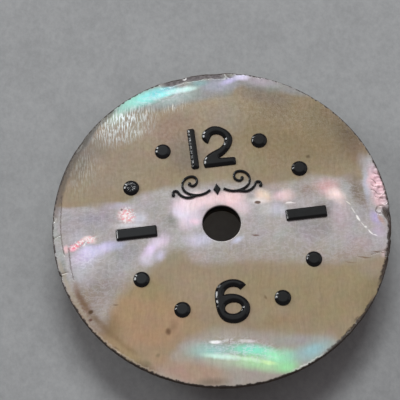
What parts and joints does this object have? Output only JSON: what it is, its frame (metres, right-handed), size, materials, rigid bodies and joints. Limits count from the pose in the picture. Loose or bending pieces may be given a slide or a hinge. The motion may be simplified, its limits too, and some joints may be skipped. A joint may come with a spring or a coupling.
{
  "type": "watch dial",
  "caption": "Round mother-of-pearl wristwatch dial on a brass plate, with raised dark numerals, dots, bars and a scroll ornament, a hand hole and feet that hold it to a movement.",
  "frame": {"origin": "centre of the hand hole on the underside of the brass backing plate, the face that rests on the movement", "axes": "+Z out of the dial's face, +Y to 12 o'clock, +X to 3 o'clock"},
  "size_m": [0.018, 0.018, 0.0027],
  "materials": {
    "pearl": "polished",
    "adhesive": "satin",
    "plate": "satin",
    "feet": "satin",
    "marks": "gloss"
  },
  "bodies": {
    "root": {"pearl_disc": "pearl", "adhesive_film": "adhesive", "backing_plate": "plate", "dial_foot_right": "feet", "dial_foot_left": "feet", "numeral_one": "marks", "numeral_two": "marks", "numeral_six": "marks", "marker_dot_1": "marks", "marker_dot_2": "marks", "marker_dot_4": "marks", "marker_dot_5": "marks", "marker_dot_7": "marks", "marker_dot_8": "marks", "marker_dot_10": "marks", "marker_dot_11": "marks", "marker_bar_3": "marks", "marker_bar_9": "marks", "ornament_scroll_left": "marks", "ornament_scroll_right": "marks", "ornament_lozenge": "marks"}
  },
  "joints": []
}
